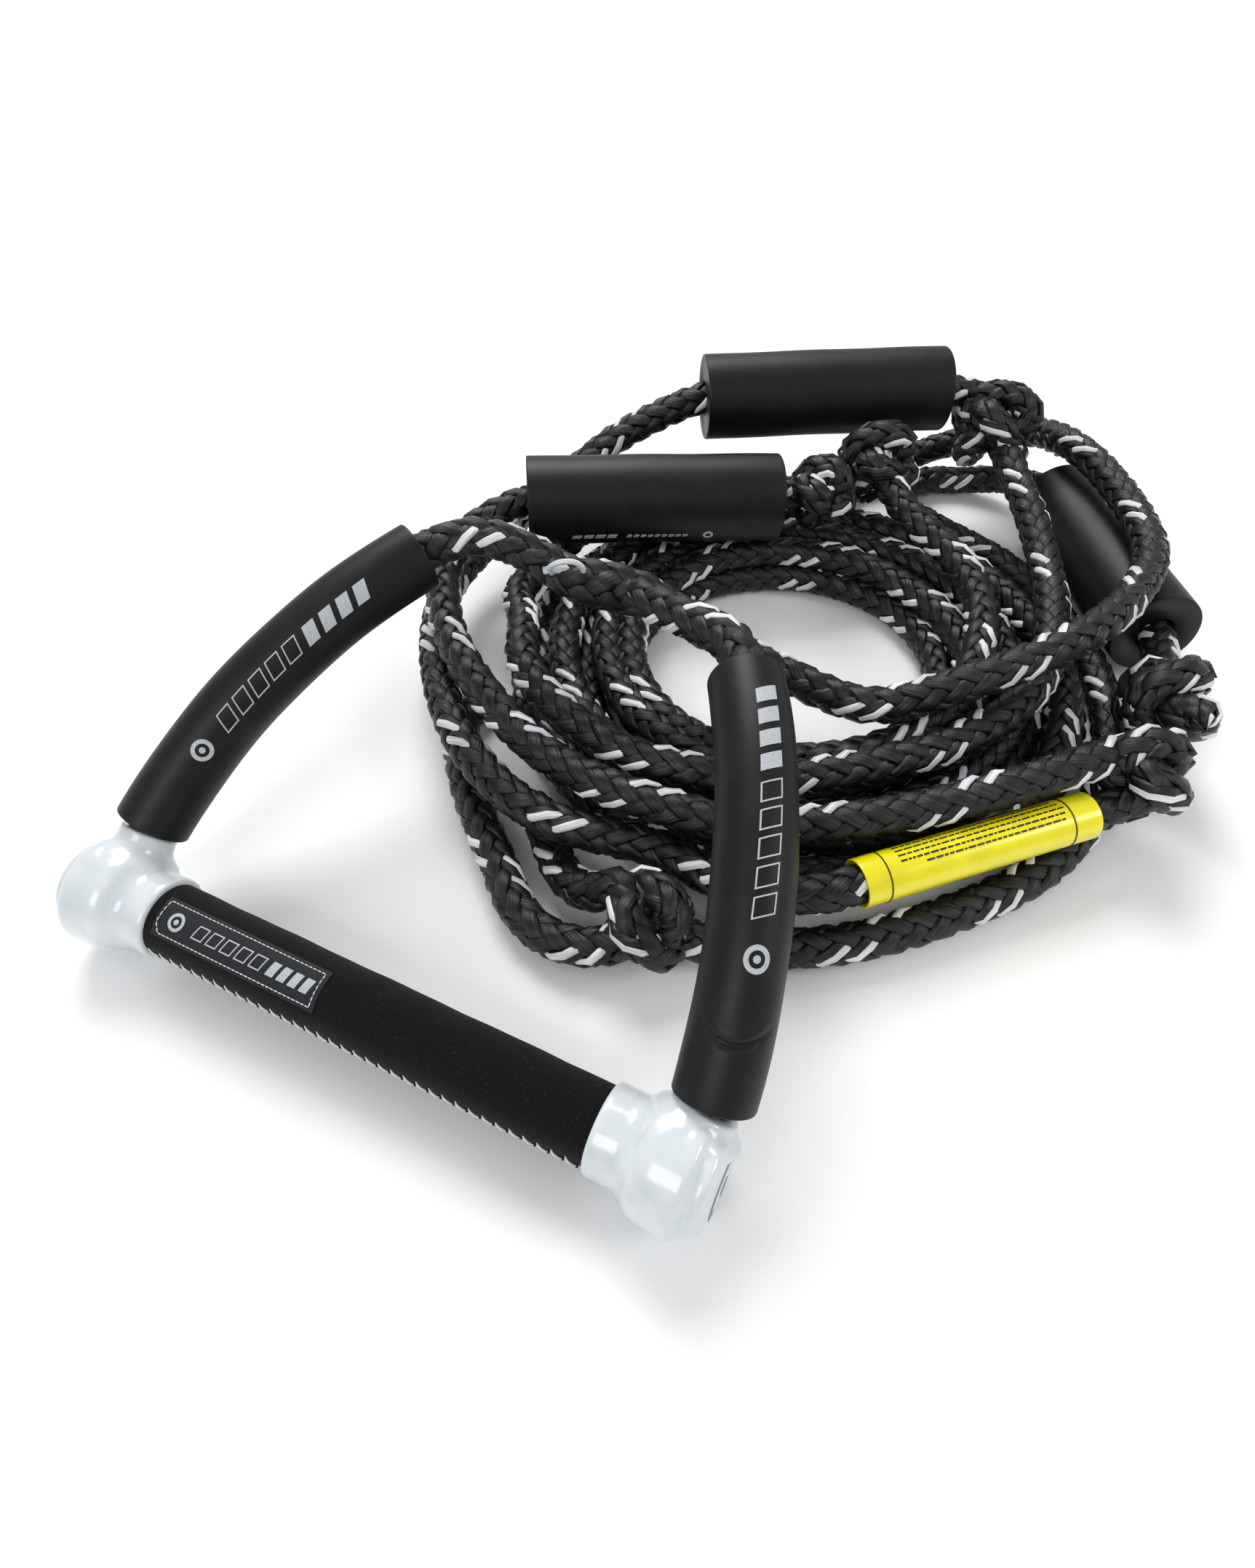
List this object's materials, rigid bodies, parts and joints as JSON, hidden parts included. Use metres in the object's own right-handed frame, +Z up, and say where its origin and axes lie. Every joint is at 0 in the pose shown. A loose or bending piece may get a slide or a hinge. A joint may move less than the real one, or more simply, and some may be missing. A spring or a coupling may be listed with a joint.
{
  "type": "tow rope handle",
  "caption": "Wakesurf tow rope handle: a short wrapped bar with glossy end caps, a bridle with foam floats, and a thick braided rope with foam grips, laid in a coil.",
  "frame": {"origin": "on the floor under the middle of the bar and its end caps", "axes": "+X along the bar, +Y away from the bar towards the coil, +Z up"},
  "size_m": [0.391, 0.5095, 0.1147],
  "materials": {
    "bar_aluminium": "plain drawn tube, hidden under the wrap and the caps",
    "core_foam": "closed-cell foam plug that keeps the bar afloat",
    "grip_wrap": "fine suede-like nap, matte",
    "label_cloth": "dark woven cloth with a pale stitched border",
    "stitch_thread": "waxed white thread",
    "cap_plastic": "glossy moulded plastic",
    "rope_braid": "hollow braid of black filament yarn with a pair of white tracer strands",
    "foam": "closed-cell foam with a fine skin",
    "sleeve_vinyl": "semi-gloss soft vinyl"
  },
  "bodies": {
    "root": {"handle_tube": "bar_aluminium", "tube_foam_core": "core_foam", "grip_wrap": "grip_wrap", "grip_label": "label_cloth", "grip_lacing": "stitch_thread", "left_end_cap": "cap_plastic", "right_end_cap": "cap_plastic", "left_end_button": "cap_plastic", "right_end_button": "cap_plastic", "left_stopper_knot": "rope_braid", "right_stopper_knot": "rope_braid", "left_bridle_rope": "rope_braid", "right_bridle_rope": "rope_braid", "bridle_splice": "rope_braid", "main_rope": "rope_braid", "rope_coil": "rope_braid", "inner_rope": "rope_braid", "upper_rope": "rope_braid", "lower_rope": "rope_braid", "sleeve_rope": "rope_braid", "side_rope": "rope_braid", "crossing_rope": "rope_braid", "boat_loop": "rope_braid", "front_knot": "rope_braid", "front_outer_knot": "rope_braid", "back_knot": "rope_braid", "side_upper_knot": "rope_braid", "side_lower_knot": "rope_braid", "loop_knot": "rope_braid"},
    "left_float": {"left_bridle_float": "foam"},
    "right_float": {"right_bridle_float": "foam"},
    "front_grip": {"front_rope_grip": "foam"},
    "back_grip": {"back_rope_grip": "foam"},
    "side_grip": {"side_rope_grip": "foam"},
    "sleeve": {"safety_sleeve": "sleeve_vinyl"}
  },
  "joints": [
    {"name": "left_float_slide", "type": "hinge", "parent": "root", "child": "left_float", "pos_m": [0.0726, 0.13125, -0.16324], "axis": [-0.7473, 0.515, -0.4198], "range_deg": [0, 1.2]},
    {"name": "right_float_slide", "type": "hinge", "parent": "root", "child": "right_float", "pos_m": [0.01235, 0.10943, -0.0634], "axis": [-0.7797, -0.4728, 0.4105], "range_deg": [0, 2]},
    {"name": "front_grip_spin", "type": "hinge", "parent": "root", "child": "front_grip", "pos_m": [-0.027, 0.2925, 0.0555], "axis": [0.8575, 0.513, -0.0383], "continuous": true},
    {"name": "back_grip_spin", "type": "hinge", "parent": "root", "child": "back_grip", "pos_m": [0.026, 0.403, 0.075], "axis": [0.8627, 0.5057, 0], "continuous": true},
    {"name": "side_grip_spin", "type": "hinge", "parent": "root", "child": "side_grip", "pos_m": [0.195, 0.385, 0.0265], "axis": [-0.5097, 0.86, -0.0239], "continuous": true},
    {"name": "sleeve_slide", "type": "slide", "parent": "root", "child": "sleeve", "axis": [0.7071, 0.7071, 0], "range_m": [-0.006, 0.006]}
  ]
}
